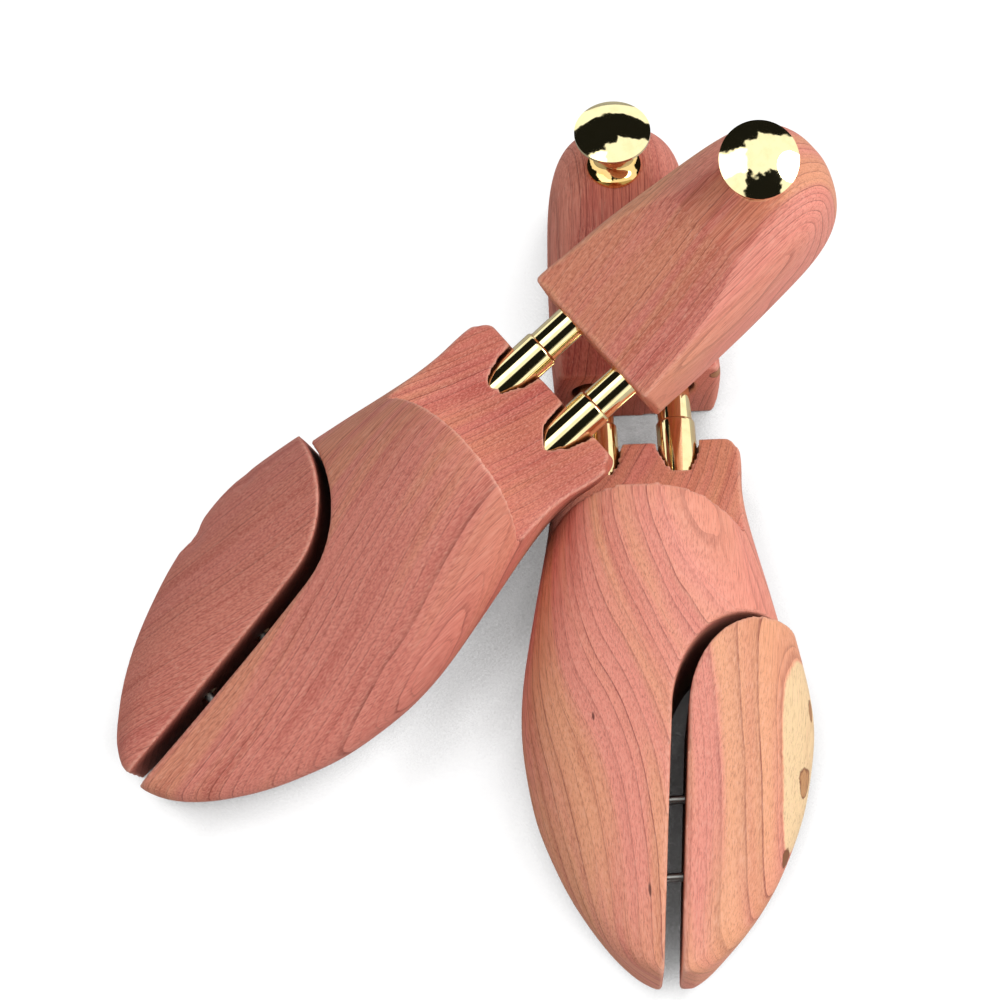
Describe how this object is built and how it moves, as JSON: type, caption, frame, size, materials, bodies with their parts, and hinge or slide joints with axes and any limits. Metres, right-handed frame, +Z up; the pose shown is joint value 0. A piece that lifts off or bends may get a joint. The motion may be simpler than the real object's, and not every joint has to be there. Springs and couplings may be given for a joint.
{
  "type": "pair of shoe trees",
  "caption": "Pair of cedar shoe trees with sprung telescoping brass tubes, split toes and turned brass knobs, one flat and one lying across it.",
  "frame": {"origin": "on the flat sole of the left tree, in the middle of its fore block", "axes": "+Z up from the floor, -Y towards the left tree's toe, +X to the left tree's outer side"},
  "size_m": [0.2339, 0.2992, 0.1345],
  "materials": {
    "cedar": "sanded bare aromatic red cedar",
    "brass": "mirror-polished brass plate",
    "steel": "plain bright steel"
  },
  "bodies": {
    "left_fore": {"left_fore_block": "cedar", "left_sleeve_tube_lateral": "brass", "left_sleeve_tube_medial": "brass", "left_tube_guide_lateral": "brass", "left_tube_guide_medial": "brass", "left_tube_spring_lateral": "steel", "left_tube_spring_medial": "steel", "left_toe_pin_front": "steel", "left_toe_pin_rear": "steel", "left_fore_set_pins": "steel"},
    "left_heel": {"left_heel_block": "cedar", "left_slide_tube_lateral": "brass", "left_slide_tube_medial": "brass", "left_knob_stem": "brass", "left_knob_head": "brass", "left_knob_screw": "steel", "left_heel_set_pins": "steel"},
    "left_toe": {"left_toe_side_block": "cedar", "left_toe_bush_front": "brass", "left_toe_bush_rear": "brass", "left_toe_spring_front": "steel", "left_toe_spring_rear": "steel"},
    "right_fore": {"right_fore_block": "cedar", "right_sleeve_tube_lateral": "brass", "right_sleeve_tube_medial": "brass", "right_tube_guide_lateral": "brass", "right_tube_guide_medial": "brass", "right_tube_spring_lateral": "steel", "right_tube_spring_medial": "steel", "right_toe_pin_front": "steel", "right_toe_pin_rear": "steel", "right_fore_set_pins": "steel"},
    "right_heel": {"right_heel_block": "cedar", "right_slide_tube_lateral": "brass", "right_slide_tube_medial": "brass", "right_knob_stem": "brass", "right_knob_head": "brass", "right_knob_screw": "steel", "right_heel_set_pins": "steel"},
    "right_toe": {"right_toe_side_block": "cedar", "right_toe_bush_front": "brass", "right_toe_bush_rear": "brass", "right_toe_spring_front": "steel", "right_toe_spring_rear": "steel"}
  },
  "joints": [
    {"name": "left_heel_slide", "type": "slide", "parent": "left_fore", "child": "left_heel", "axis": [-0.0663, 0.9978, 0], "range_m": [-0.018, 0], "stiffness_N_per_m": 900, "springref_m": 0.02, "deforming": ["left_tube_spring_lateral", "left_tube_spring_medial"]},
    {"name": "left_toe_slide", "type": "slide", "parent": "left_fore", "child": "left_toe", "axis": [0.9978, 0.0663, 0], "range_m": [-0.004, 0], "stiffness_N_per_m": 1500, "springref_m": 0.006, "deforming": ["left_toe_spring_front", "left_toe_spring_rear"]},
    {"name": "right_lift", "type": "slide", "parent": "left_fore", "child": "right_fore", "axis": [0, 0, 1], "range_m": [0, 0.15]},
    {"name": "right_heel_slide", "type": "slide", "parent": "right_fore", "child": "right_heel", "axis": [0.7402, 0.616, 0.2696], "range_m": [-0.018, 0], "stiffness_N_per_m": 900, "springref_m": 0.02, "deforming": ["right_tube_spring_lateral", "right_tube_spring_medial"]},
    {"name": "right_toe_slide", "type": "slide", "parent": "right_fore", "child": "right_toe", "axis": [-0.6553, 0.7507, 0.0839], "range_m": [-0.004, 0], "stiffness_N_per_m": 1500, "springref_m": 0.006, "deforming": ["right_toe_spring_front", "right_toe_spring_rear"]}
  ]
}
